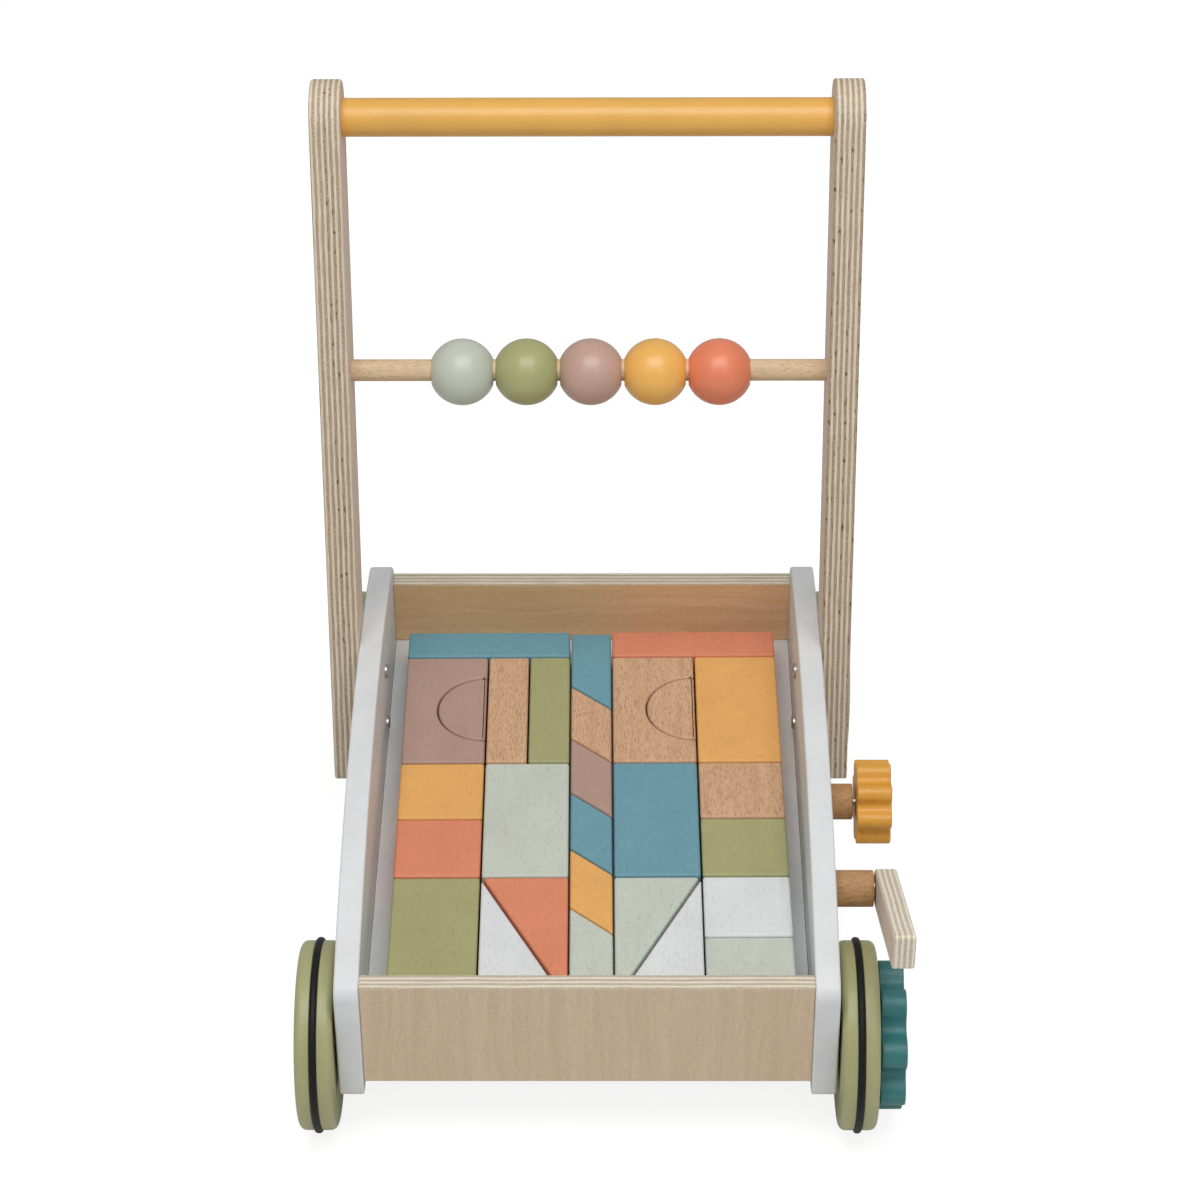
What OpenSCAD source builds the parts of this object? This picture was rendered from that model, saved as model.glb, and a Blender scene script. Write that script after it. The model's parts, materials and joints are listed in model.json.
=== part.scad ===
// Wooden push-along walker with a tray of building blocks, a bead rail, a spinning knob,
// a ratchet lever and four rubber-tyred wheels.
// +Z is up, the front of the walker faces -Y, and the origin is the middle of the footprint.

/* [Tray] */
// Clear width between the two side panels
tray_inner_w = 244.4; // [236:0.2:270]
// Thickness of each side panel
side_t = 13.6; // [12:0.2:16]
// Distance from the outer face of the front panel to the outer face of the rear panel
tray_len = 368.8; // [366:0.2:390]
// Thickness of the front panel
front_t = 10.6; // [9:0.2:11]
// Thickness of the rear panel
rear_t = 12; // [9:0.5:14]
// Height of the top edge of the front and rear panels above the ground
end_panel_top_z = 117.5; // [112:0.5:122]
// Height of the bottom edge of the front and rear panels
end_panel_bottom_z = 47.5; // [43:0.5:50]
// Height of the bottom edge of the side panels
side_bottom_z = 37; // [34:0.5:40]
// Height of the highest point of a side panel's arched top edge
side_peak_z = 149.7; // [146:0.1:156]
// Radius of the arched top edge of a side panel
side_arch_r = 640; // [560:10:760]
// Thickness of the floor board
floor_t = 6; // [5:0.5:8]

/* [Blocks] */
// Grid pitch that every block is a multiple of
unit = 49.8; // [48:0.1:49.9]
// Play between neighbouring blocks
block_gap = 0.5; // [0.4:0.1:1]
// Height of every block
block_h = 24; // [22:0.5:26]
// Turn of the loose blocks in the tray, in degrees
block_turn = 0.4; // [0:0.1:0.5]
// Radius of the half-round cut-out in the arch blocks
arch_r = 29.5; // [26:0.5:32]

/* [Uprights and rails] */
// Thickness of each upright
upright_t = 17; // [15:0.5:18]
// Width of each upright from front to back
upright_w = 42; // [38:1:46]
// Backward lean of the uprights from vertical, in degrees
upright_lean = 12; // [8:0.5:13]
// Height of the middle of the handle bar
handle_z = 454.7; // [440:0.1:480]
// Diameter of the handle bar
handle_d = 21.5; // [18:0.5:24]
// Diameter of the rod that carries the beads
rail_d = 12.5; // [10:0.5:14]
// Diameter of one bead
bead_d = 38.3; // [34:0.1:40]

/* [Wheels] */
// Diameter of a wheel over its rubber ring
wheel_d = 107.5; // [104:0.5:110]
// Thickness of a wheel
wheel_t = 20.6; // [18:0.2:20.8]
// Diameter of the steel axles
axle_d = 8; // [6:0.5:8]
// Distance between the front and rear axles
wheelbase = 318; // [312:1:324]

/* [Side gear and lever] */
// Diameter of the gear fixed to the front right wheel, over its lobes
wheel_gear_d = 84; // [76:1:84]
// Thickness of that gear
wheel_gear_t = 13.8; // [12:0.2:14]
// Diameter of the free-spinning knob, over its lobes
knob_d = 48.6; // [42:0.2:50]
// Thickness of the knob
knob_t = 19.5; // [16:0.5:20]
// Number of lobes on the gear and on the knob
lobes = 8; // [6:1:10]
// Diameter of the two posts on the side panel
post_d = 20.4; // [18:0.2:21]
// Thickness of the lever
lever_t = 12; // [10:0.5:12]
// Width of the lever
lever_w = 21.5; // [18:0.5:22]
// Angle of the raised lever above level, in degrees
lever_rise = 27; // [20:1:30]

/* [Hidden] */
$fn = 96;

// Running fit of a shaft in its hole, and the play between faces that move past each other
run_play = 0.06;
face_play = 0.5;

// Lengthways stations, measured from the middle of the wheels' footprint towards the back
front_axle_y = -wheelbase / 2;
rear_axle_y = wheelbase / 2;
wheel_r = wheel_d / 2;
tray_front_y = front_axle_y - 29.8;
tray_rear_y = tray_front_y + tray_len;
rear_face_y = tray_rear_y - rear_t;
front_face_y = tray_front_y + front_t;
side_front_y = tray_front_y - 2;
side_rear_y = tray_rear_y + 4;
arch_y = (side_front_y + side_rear_y) / 2 + 20;

// Sideways stations
tray_half = tray_inner_w / 2;
side_out = tray_half + side_t;
upright_out = side_out + upright_t;
wheel_in = side_out + 1.6;
wheel_out = wheel_in + wheel_t;
gear_in = wheel_out + 1.2;
gear_out = gear_in + wheel_gear_t;

// The lever reaches further forward than the wheels, so it sets the front of the footprint
lever_pivot = [front_axle_y + 53, 114.2];
lever_tip_y = lever_pivot[0] - 114;
rear_most_y = rear_axle_y + wheel_r;
mid_x = (gear_out - wheel_out) / 2;
mid_y = (lever_tip_y + rear_most_y) / 2;
origin = [-mid_x, -mid_y, 0];

// Tray levels
deck_z = side_bottom_z + 60.7;
floor_top_z = deck_z - block_h;
floor_side = 0.2;

// Uprights: the middle line runs down from the handle bar
handle_y = tray_rear_y - 28.8;
rail_drop = 147;
bolt_drop = [335, 369];
upright_len = 405;
bolt_d = 6;

// Posts
knob_post = [front_axle_y + 123, 117.2];
knob_in = side_out + 15.4;
knob_post_end = knob_in - 1.8;
lever_in = side_out + 22.8;
lever_post_end = lever_in - 1;
post_sink = 7;
screw_d = 5;

// Blocks stand on a grid whose rows run from the back of the tray to the front
block_rear_y = front_face_y + 1.1 + 6.5 * unit;
block_mid_x = 1;
centre_w = unit / 2 - block_gap;
slant = 22;

// Colours
mauve = [0.66, 0.54, 0.49];
coral = [0.84, 0.52, 0.40];
yellow = [0.87, 0.65, 0.38];
green = [0.62, 0.61, 0.44];
sage = [0.74, 0.76, 0.72];
mint = [0.67, 0.70, 0.65];
blue = [0.42, 0.59, 0.63];
white = [0.82, 0.83, 0.83];
beech = [0.76, 0.61, 0.47];
ply = [0.72, 0.65, 0.56];
mustard = [0.86, 0.67, 0.37];
olive = [0.64, 0.63, 0.48];
teal = [0.20, 0.41, 0.41];
rubber = [0.12, 0.12, 0.13];
steel = [0.72, 0.72, 0.74];

// ---------- helpers ----------

// Moves a part drawn on the axles' middle to the middle of the whole footprint
module placed() {
    translate(origin) children();
}

// Points of an arc about a centre, from one angle to another
function arc(c, r, a0, a1, n) = [for (i = [0:n]) c + r * [cos(a0 + (a1 - a0) * i / n),
    sin(a0 + (a1 - a0) * i / n)]];

// A board whose outline is drawn in the Y-Z plane and whose thickness runs along +X
module board(x, t) {
    translate([x, 0, 0]) rotate([90, 0, 90]) linear_extrude(t) children();
}

// A round rod along +X
module rod(x, len, at, d) {
    translate([x, at[0], at[1]]) rotate([0, 90, 0]) cylinder(d = d, h = len);
}

// Middle line of the uprights, a given distance down from the handle bar
function upright_at(drop) = [handle_y - drop * tan(upright_lean), handle_z - drop];

// ---------- tray ----------

module side_outline() {
    front_r = 9;
    rear_r = 30;
    foot_r = 5;
    c = [arch_y, side_peak_z - side_arch_r];
    front_c = [side_front_y + front_r,
        c[1] + sqrt(pow(side_arch_r - front_r, 2) - pow(side_front_y + front_r - c[0], 2))];
    rear_c = [side_rear_y - rear_r,
        c[1] + sqrt(pow(side_arch_r - rear_r, 2) - pow(side_rear_y - rear_r - c[0], 2))];
    front_a = atan2(front_c[1] - c[1], front_c[0] - c[0]);
    rear_a = atan2(rear_c[1] - c[1], rear_c[0] - c[0]);
    polygon(concat(
        arc([side_front_y + foot_r, side_bottom_z + foot_r], foot_r, 270, 180, 6),
        arc(front_c, front_r, 180, front_a, 8),
        arc(c, side_arch_r, front_a, rear_a, 28),
        arc(rear_c, rear_r, rear_a, 0, 14),
        arc([side_rear_y - foot_r, side_bottom_z + foot_r], foot_r, 0, -90, 6)));
}

// Places along the side panels where the end panels are screwed on
function screw_places() = [for (y = [front_face_y - front_t / 2, rear_face_y + rear_t / 2],
    z = [end_panel_bottom_z + 16, end_panel_top_z - 16]) [y, z]];
screw_head_d = 7;
screw_sink = 2.4;

module side_panel(x) {
    difference() {
        board(x, side_t) side_outline();
        for (y = [front_axle_y, rear_axle_y])
            rod(x - 1, side_t + 2, [y, wheel_r], axle_d + 2 * run_play);
        for (drop = bolt_drop)
            rod(x - 1, side_t + 2, upright_at(drop), bolt_d + 2 * run_play);
        for (p = screw_places()) rod(x - 1, side_t + 2, p, 4);
        for (p = screw_places())
            rod(x < 0 ? x - 1 : x + side_t - screw_sink, 1 + screw_sink, p, screw_head_d);
    }
}

module left_side_panel() {
    color(white) placed() side_panel(-side_out);
}

module right_side_panel() {
    color(white) placed() difference() {
        side_panel(tray_half);
        for (p = [knob_post, lever_pivot]) rod(side_out - post_sink, post_sink + 1, p, post_d);
    }
}

// A cross panel between the two side panels, with a groove for the floor board
module end_panel(y, t, groove_y) {
    difference() {
        translate([-tray_half, y, end_panel_bottom_z])
            cube([tray_inner_w, t, end_panel_top_z - end_panel_bottom_z]);
        translate([-tray_half - 1, groove_y, floor_top_z - floor_t])
            cube([tray_inner_w + 2, 5, floor_t]);
        for (side = [-1, 1], z = [end_panel_bottom_z + 16, end_panel_top_z - 16])
            rod(side < 0 ? -tray_half - 1 : tray_half - 26, 27, [y + t / 2, z], 4);
    }
}

module front_panel() {
    color(ply) placed() end_panel(tray_front_y, front_t, front_face_y - 4);
}

module rear_panel() {
    color(ply) placed() end_panel(rear_face_y, rear_t, rear_face_y - 1);
}

module floor_board() {
    color(white) placed()
        translate([-tray_half + floor_side, front_face_y - 4 + floor_side, floor_top_z - floor_t])
        cube([tray_inner_w - 2 * floor_side, rear_face_y - front_face_y + 8 - 2 * floor_side, floor_t]);
}

// Countersunk wood screws through the side panels into the end panels
module panel_screws() {
    color(steel) placed() for (side = [0, 1], p = screw_places()) mirror([side, 0, 0]) {
        rod(side_out - screw_sink, screw_sink - 0.6, p, screw_head_d);
        rod(tray_half - 24, side_t - screw_sink + 24, p, 4);
    }
}

// ---------- uprights, handle and beads ----------

module upright_outline() {
    r = upright_w / 2;
    corner = 3;
    translate([handle_y, handle_z]) rotate(-upright_lean) polygon(concat(
        arc([0, 0], r, 0, 180, 24),
        arc([-r + corner, -upright_len + corner], corner, 180, 270, 3),
        arc([r - corner, -upright_len + corner], corner, 270, 360, 3)));
}

module upright(x) {
    difference() {
        board(x, upright_t) upright_outline();
        for (drop = bolt_drop) rod(x - 1, upright_t + 2, upright_at(drop), bolt_d + 2 * run_play);
        for (p = [upright_at(0), upright_at(rail_drop)]) rod(x - 1, upright_t + 2, p, screw_d);
    }
}

module left_upright() {
    color(ply) placed() upright(-upright_out);
}

module right_upright() {
    color(ply) placed() upright(side_out);
}

// Cross rails butt against the inner faces of the uprights and are drilled for their screws
module cross_rail(at, d) {
    difference() {
        rod(-side_out, 2 * side_out, at, d);
        for (x = [-side_out - 1, side_out - 30]) rod(x, 31, at, screw_d);
    }
}

module handle_bar() {
    color(mustard) placed() cross_rail(upright_at(0), handle_d);
}

module bead_rail() {
    color(beech) placed() cross_rail(upright_at(rail_drop), rail_d);
}

bead_pitch = bead_d - 1.6;
bead_flat = bead_pitch / 2 - 0.2;
bead_row_mid = 1.1;
bead_play = 3;
bead_top_gap = 0.3;
bead_hang = bead_play / 2 - bead_top_gap;

// The hole of a bead is wider than the rail, so that the bead hangs a little low on it
module bead(i) {
    at = upright_at(rail_drop) - [0, bead_hang];
    middle_x = (i - 3) * bead_pitch + bead_row_mid;
    difference() {
        translate([middle_x, at[0], at[1]]) rotate([0, 90, 0]) intersection() {
            sphere(d = bead_d);
            translate([0, 0, -bead_flat]) cylinder(d = bead_d + 2, h = 2 * bead_flat);
        }
        rod(middle_x - bead_d, 2 * bead_d, at, rail_d + bead_play);
    }
}

module bead_1() { color(mint) placed() bead(1); }
module bead_2() { color(green) placed() bead(2); }
module bead_3() { color(mauve) placed() bead(3); }
module bead_4() { color(yellow) placed() bead(4); }
module bead_5() { color(coral) placed() bead(5); }

// Machine screws through upright and side panel, with a nut on the inside, and the long
// wood screws that hold the two cross rails
module upright_bolts() {
    head_t = 1.2;
    nut_t = 2;
    nut_d = 9;
    color(steel) placed() for (side = [0, 1]) mirror([side, 0, 0]) {
        for (drop = bolt_drop) {
            p = upright_at(drop);
            rod(tray_half - nut_t, upright_out - tray_half + nut_t, p, bolt_d);
            rod(upright_out, head_t, p, 12);
            difference() {
                rod(tray_half - nut_t, nut_t, p, nut_d);
                rod(tray_half - nut_t - 1, nut_t + 2, p, bolt_d);
            }
        }
        for (p = [upright_at(0), upright_at(rail_drop)]) {
            rod(side_out - 28, upright_t + 28, p, screw_d - 2 * run_play);
            rod(upright_out, head_t, p, 10);
        }
    }
}

// ---------- wheels ----------

axle_end = wheel_out - 5.5;
axle_end_right = gear_out - 5.5;
cap_d = 15;
cap_t = 3;

// Fixed steel axles; the front one is longer on the right, where it also carries the gear
module axles() {
    color(steel) placed() {
        rod(-axle_end, axle_end + axle_end_right, [front_axle_y, wheel_r], axle_d);
        rod(-axle_end, 2 * axle_end, [rear_axle_y, wheel_r], axle_d);
    }
}

// Press-on caps that keep the wheels on, and the washers behind the wheels
module axle_caps() {
    washer_t = wheel_in - side_out - 0.4;
    color(steel) placed() for (y = [front_axle_y, rear_axle_y], side = [-1, 1]) {
        long_end = side > 0 && y < 0;
        cap_x = long_end ? axle_end_right : axle_end;
        at = [y, wheel_r];
        difference() {
            rod(side > 0 ? cap_x - cap_t : -cap_x, cap_t, at, cap_d);
            rod(side > 0 ? cap_x - cap_t - 1 : -cap_x - 1, cap_t + 2, at, axle_d);
        }
        difference() {
            rod(side > 0 ? side_out : -side_out - washer_t, washer_t, at, 16);
            rod(side > 0 ? side_out - 1 : -side_out - washer_t - 1, washer_t + 2, at, axle_d);
        }
    }
}

tyre_w = 5;
tyre_groove = 3.5;
rim_r = wheel_r - 1.8;
edge_r = 3.8;

// Half section of a wheel: x is the radius and y runs along the axle from its inner face
module wheel_section(bore, cap_bore, cap_deep) {
    polygon(concat(
        [[bore, 0]],
        arc([rim_r - edge_r, edge_r], edge_r, -90, 0, 8),
        [[rim_r, wheel_t / 2 - tyre_w / 2], [rim_r - tyre_groove, wheel_t / 2 - tyre_w / 2],
            [rim_r - tyre_groove, wheel_t / 2 + tyre_w / 2], [rim_r, wheel_t / 2 + tyre_w / 2]],
        arc([rim_r - edge_r, wheel_t - edge_r], edge_r, 0, 90, 8),
        [[cap_bore, wheel_t], [cap_bore, wheel_t - cap_deep], [bore, wheel_t - cap_deep]]));
}

// Turns a half section about an axle so that its y runs along +X or -X
module on_axle(side, x, y) {
    translate([side * x, y, wheel_r]) rotate([0, side * 90, 0]) rotate_extrude($fn = 128) children();
}

module wheel(side, y, geared) {
    bore = axle_d / 2 + run_play;
    on_axle(side, wheel_in, y)
        wheel_section(bore, geared ? bore + 1 : cap_d / 2 + 1, geared ? 0.5 : 5.5 + cap_t + 0.6);
}

module tyre(side, y) {
    bead_r = 2;
    inner = rim_r - tyre_groove;
    on_axle(side, wheel_in + wheel_t / 2 - tyre_w / 2 , y) polygon(concat(
        [[inner, 0]],
        arc([wheel_r - bead_r, bead_r], bead_r, -90, 0, 5),
        arc([wheel_r - bead_r, tyre_w - bead_r], bead_r, 0, 90, 5),
        [[inner, tyre_w]]));
}

module front_left_wheel() { color(olive) placed() wheel(-1, front_axle_y, false); }
module front_right_wheel() { color(olive) placed() wheel(1, front_axle_y, true); }
module rear_left_wheel() { color(olive) placed() wheel(-1, rear_axle_y, false); }
module rear_right_wheel() { color(olive) placed() wheel(1, rear_axle_y, false); }
module front_left_tyre() { color(rubber) placed() tyre(-1, front_axle_y); }
module front_right_tyre() { color(rubber) placed() tyre(1, front_axle_y); }
module rear_left_tyre() { color(rubber) placed() tyre(-1, rear_axle_y); }
module rear_right_tyre() { color(rubber) placed() tyre(1, rear_axle_y); }

// ---------- lobed gear, knob and lever ----------

// Outline of a wooden gear: round petals on its rim, joined by hollow arcs that meet them smoothly
module lobed(d, first) {
    half = 180 / lobes;
    petal = 0.28 * d * sin(half);
    c = d / 2 - petal;
    hollow = (2 * pow(c, 2) * (1 - cos(half)) - pow(petal, 2)) / (2 * (petal - c * (1 - cos(half))));
    far = c + hollow;
    toward = [far * cos(half) - c, far * sin(half)];
    join = [c, 0] + toward * petal / norm(toward);
    steps = 12;
    polygon([for (i = [0:lobes - 1], k = [-steps:steps - 1]) let (
        off = abs(half * k / steps),
        r = off < atan2(join[1], join[0])
            ? c * cos(off) + sqrt(pow(petal, 2) - pow(c * sin(off), 2))
            : far * cos(half - off) - sqrt(pow(hollow, 2) - pow(far * sin(half - off), 2)),
        a = first + 2 * half * i + half * k / steps) r * [cos(a), sin(a)]]);
}
gear_first = 17;
knob_first = 36;

module wheel_gear() {
    at = [front_axle_y, wheel_r];
    color(teal) placed() difference() {
        translate([0, at[0], at[1]]) board(wheel_out, gear_out - wheel_out) lobed(wheel_gear_d, gear_first);
        rod(wheel_out - 1, wheel_gear_t + 4, at, axle_d + 2 * run_play);
        rod(gear_out - 5.5 - cap_t - 0.6, 11, at, cap_d + 2);
        // A relief leaves a thin shadow gap between the gear's rim and the wheel
        difference() {
            rod(wheel_out - 1, gear_in - wheel_out + 1, at, wheel_gear_d + 2);
            rod(wheel_out - 2, gear_in - wheel_out + 3, at, 50);
        }
    }
}

module side_posts() {
    color(beech) placed() {
        difference() {
            rod(side_out - post_sink, knob_post_end - side_out + post_sink, knob_post, post_d);
            rod(side_out - post_sink + 5, knob_post_end - side_out + post_sink, knob_post, screw_d);
        }
        difference() {
            rod(side_out - post_sink, lever_post_end - side_out + post_sink, lever_pivot, post_d);
            rod(side_out - post_sink + 5, lever_post_end - side_out + post_sink, lever_pivot, screw_d);
        }
    }
}

knob_out = knob_in + knob_t;
knob_sink = 4;

module knob() {
    color(mustard) placed() difference() {
        translate([0, knob_post[0], knob_post[1]]) board(knob_in, knob_t) lobed(knob_d, knob_first);
        rod(knob_in - 1, knob_t + 2, knob_post, screw_d + 2 * run_play);
        rod(knob_out - knob_sink, knob_sink + 1, knob_post, 11);
    }
}

module knob_screw() {
    color(steel) placed() {
        rod(side_out, knob_out - knob_sink + face_play - side_out, knob_post, screw_d);
        rod(knob_out - knob_sink + face_play, 2.2, knob_post, 9.4);
    }
}

// Outline of the lever about its pivot: a bar that rises forward and ends in an upright face
module lever_outline() {
    h = lever_w / 2;
    run = lever_pivot[0] - lever_tip_y;
    rise = run * tan(lever_rise);
    up = h / cos(lever_rise);
    nose = 1.5;
    back = [h * sin(lever_rise), h * cos(lever_rise)];
    polygon(concat(
        arc([0, 0], h, -90 - lever_rise, 90 - lever_rise, 16),
        [[-run + nose, rise + up - nose * tan(lever_rise)], [-run, rise + up - nose]],
        [[-run, rise - up + nose], [-run + nose, rise - up]]));
}

module lever() {
    color(ply) placed() difference() {
        translate([0, lever_pivot[0], lever_pivot[1]]) board(lever_in, lever_t) lever_outline();
        rod(lever_in - 1, lever_t + 2, lever_pivot, screw_d + 2 * run_play);
    }
}

module lever_screw() {
    lever_out = lever_in + lever_t;
    color(steel) placed() {
        rod(side_out, lever_out + face_play - side_out, lever_pivot, screw_d);
        rod(lever_out + face_play, 1, lever_pivot, 11);
        difference() {
            rod(lever_post_end, 0.6, lever_pivot, 13);
            rod(lever_post_end - 1, 2.6, lever_pivot, screw_d);
        }
    }
}

// ---------- blocks ----------

// Puts a block with a flat outline on the grid: col and row count units from the rear left corner
module at_grid(col, row) {
    translate([block_mid_x, block_rear_y - 3.25 * unit, floor_top_z]) rotate(block_turn)
        translate([(col - 2.25) * unit, (3.25 - row) * unit, 0])
            linear_extrude(block_h) children();
}

// A rectangle of w by l units whose rear left corner is at the grid point
module brick(w, l) {
    g = block_gap / 2;
    translate([g, -l * unit + g]) square([w * unit - block_gap, l * unit - block_gap]);
}

module arch() {
    difference() {
        brick(1, 2);
        translate([unit - block_gap / 2, -unit]) circle(r = arch_r);
    }
}

module half_round() {
    intersection() {
        translate([unit - block_gap / 2, -unit]) circle(r = arch_r - block_gap);
        translate([0, -2 * unit]) square([unit - block_gap / 2, 2 * unit]);
    }
}

// One half of a brick of 1 by 2 units that is cut corner to corner
module wedge(left_side, cut_forward) {
    g = block_gap / 2;
    w = unit - g;
    l = 2 * unit - g;
    s = 0.9;
    x0 = left_side ? g : w;
    x1 = left_side ? w - s : g + s;
    corner_y = cut_forward ? -l : -g;
    far_y = cut_forward ? -g - 2 * s : -l + 2 * s;
    polygon([[x0, corner_y], [x1, corner_y], [x0, far_y]]);
}

// A block of the centre column between two slanted cuts, given at its left edge; a drop of
// zero makes that cut square
module centre_block(rear, front, rear_drop, front_drop) {
    g = block_gap / 2;
    polygon([[g, -rear - g], [g + centre_w, -rear - rear_drop - g],
        [g + centre_w, -front - front_drop + g], [g, -front + g]]);
}
centre_cuts = concat([0.04], [for (i = [0:4]) 1.065 + 0.985 * i], [6.5]);

module plank_left() { color(blue) placed() at_grid(0, 0) brick(2, 0.5); }
module plank_right() { color(coral) placed() at_grid(2.5, 0) brick(2, 0.5); }
module arch_mauve() { color(mauve) placed() at_grid(0, 0.5) arch(); }
module half_round_mauve() { color(mauve) placed() at_grid(0, 0.5) half_round(); }
module arch_beech() { color(beech) placed() at_grid(2.5, 0.5) arch(); }
module half_round_beech() { color(beech) placed() at_grid(2.5, 0.5) half_round(); }
module bar_beech() { color(beech) placed() at_grid(1, 0.5) brick(0.5, 2); }
module bar_green() { color(green) placed() at_grid(1.5, 0.5) brick(0.5, 2); }
module brick_yellow_rear() { color(yellow) placed() at_grid(3.5, 0.5) brick(1, 2); }
module square_yellow() { color(yellow) placed() at_grid(0, 2.5) brick(1, 1); }
module square_coral() { color(coral) placed() at_grid(0, 3.5) brick(1, 1); }
module brick_sage() { color(sage) placed() at_grid(1, 2.5) brick(1, 2); }
module brick_blue() { color(blue) placed() at_grid(2.5, 2.5) brick(1, 2); }
module square_beech() { color(beech) placed() at_grid(3.5, 2.5) brick(1, 1); }
module square_green() { color(green) placed() at_grid(3.5, 3.5) brick(1, 1); }
module brick_green() { color(green) placed() at_grid(0, 4.5) brick(1, 2); }
module square_white() { color(white) placed() at_grid(3.5, 4.5) brick(1, 1); }
module square_sage() { color(sage) placed() at_grid(3.5, 5.5) brick(1, 1); }
module wedge_white_left() { color(white) placed() at_grid(1, 4.5) wedge(true, true); }
module wedge_coral() { color(coral) placed() at_grid(1, 4.5) wedge(false, false); }
module wedge_sage() { color(sage) placed() at_grid(2.5, 4.5) wedge(true, false); }
module wedge_white_right() { color(white) placed() at_grid(2.5, 4.5) wedge(false, true); }

// The centre column, from the rear keystone to the front one
module centre_at(i, rear_drop, front_drop) {
    at_grid(2, 0) centre_block(centre_cuts[i] * unit, centre_cuts[i + 1] * unit, rear_drop, front_drop);
}
module keystone_blue() { color(blue) placed() centre_at(0, 0, slant); }
module slant_beech() { color(beech) placed() centre_at(1, slant, slant); }
module slant_mauve() { color(mauve) placed() centre_at(2, slant, slant); }
module slant_blue() { color(blue) placed() centre_at(3, slant, slant); }
module slant_yellow() { color(yellow) placed() centre_at(4, slant, slant); }
module keystone_sage() { color(sage) placed() centre_at(5, slant, 0); }

// ---------- nodes ----------

left_side_panel();
right_side_panel();
front_panel();
rear_panel();
floor_board();
left_upright();
right_upright();
handle_bar();
bead_rail();
bead_1();
bead_2();
bead_3();
bead_4();
bead_5();
panel_screws();
upright_bolts();
axles();
axle_caps();
front_left_wheel();
front_right_wheel();
rear_left_wheel();
rear_right_wheel();
front_left_tyre();
front_right_tyre();
rear_left_tyre();
rear_right_tyre();
wheel_gear();
side_posts();
knob();
knob_screw();
lever();
lever_screw();
plank_left();
plank_right();
arch_mauve();
half_round_mauve();
arch_beech();
half_round_beech();
bar_beech();
bar_green();
brick_yellow_rear();
square_yellow();
square_coral();
brick_sage();
brick_blue();
square_beech();
square_green();
brick_green();
square_white();
square_sage();
wedge_white_left();
wedge_coral();
wedge_sage();
wedge_white_right();
keystone_blue();
slant_beech();
slant_mauve();
slant_blue();
slant_yellow();
keystone_sage();
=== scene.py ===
# %% [markdown]
# # A wooden baby walker
# This lesson dresses a finished construction model. The frame that is loaded here already has every
# part in its place and says how the parts move. Blender adds what a shop window needs: rounded
# edges, turned wood, paint, plywood layers and soft light. Every size below is read from the frame.

import json
import math

import bmesh
import bpy
from mathutils import Matrix, Vector


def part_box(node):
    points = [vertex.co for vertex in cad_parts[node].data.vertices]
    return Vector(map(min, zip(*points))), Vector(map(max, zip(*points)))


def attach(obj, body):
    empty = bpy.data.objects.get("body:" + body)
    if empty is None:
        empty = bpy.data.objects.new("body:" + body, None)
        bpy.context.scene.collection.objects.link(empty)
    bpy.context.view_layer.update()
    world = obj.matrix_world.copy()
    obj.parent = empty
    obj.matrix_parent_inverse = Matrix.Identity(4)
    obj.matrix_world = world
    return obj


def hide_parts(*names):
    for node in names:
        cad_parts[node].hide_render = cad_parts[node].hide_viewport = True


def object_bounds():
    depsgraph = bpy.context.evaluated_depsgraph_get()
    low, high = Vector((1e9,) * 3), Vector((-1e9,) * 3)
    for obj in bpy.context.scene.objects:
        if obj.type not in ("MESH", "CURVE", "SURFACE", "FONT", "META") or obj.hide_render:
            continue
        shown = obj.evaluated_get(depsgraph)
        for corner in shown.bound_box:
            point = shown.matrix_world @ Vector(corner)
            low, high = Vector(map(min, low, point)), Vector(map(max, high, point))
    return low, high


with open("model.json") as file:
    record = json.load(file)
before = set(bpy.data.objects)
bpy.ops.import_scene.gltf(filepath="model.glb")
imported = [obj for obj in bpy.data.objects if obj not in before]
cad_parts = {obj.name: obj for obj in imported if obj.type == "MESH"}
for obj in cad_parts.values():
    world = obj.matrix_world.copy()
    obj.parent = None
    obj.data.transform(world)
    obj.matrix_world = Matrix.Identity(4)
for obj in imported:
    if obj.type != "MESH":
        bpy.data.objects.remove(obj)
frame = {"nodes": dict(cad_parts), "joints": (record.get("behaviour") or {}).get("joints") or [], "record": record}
cad_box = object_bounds()
nodes = frame["nodes"]
MM = 0.001
MM_PER_M = 1000.0
body_of_node = {n: body for body, names in frame["record"]["behaviour"]["bodies"].items() for n in names}
slot_of_node = {row["node"]: row["material_slot"] for row in frame["record"]["subparts"]}
print("box", [tuple(round(v, 4) for v in corner) for corner in cad_box])


# %% [markdown]
# ## Camera
# The walker is seen from the front and from well above, with a long lens that keeps its sides nearly
# parallel. The camera aims just beside the middle of the whole box, and a small shift and roll bring
# the uprights square in the frame. It could be placed by typing a position, but an aim point, a
# distance and two angles are easier to read and to change.

# %% Camera
low, high = Vector(cad_box[0]), Vector(cad_box[1])
box_mid = (low + high) / 2
AIM_BESIDE_MID = Vector((-0.0008, 0.0009, 0.0118))
LENS_MM = 104.08
RISE = -0.0162
CAMERA_DISTANCE = 1.9197
CAMERA_ELEVATION = math.radians(37.116)
CAMERA_AZIMUTH = math.radians(-0.4985)
CAMERA_ROLL = math.radians(0.338)


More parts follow.
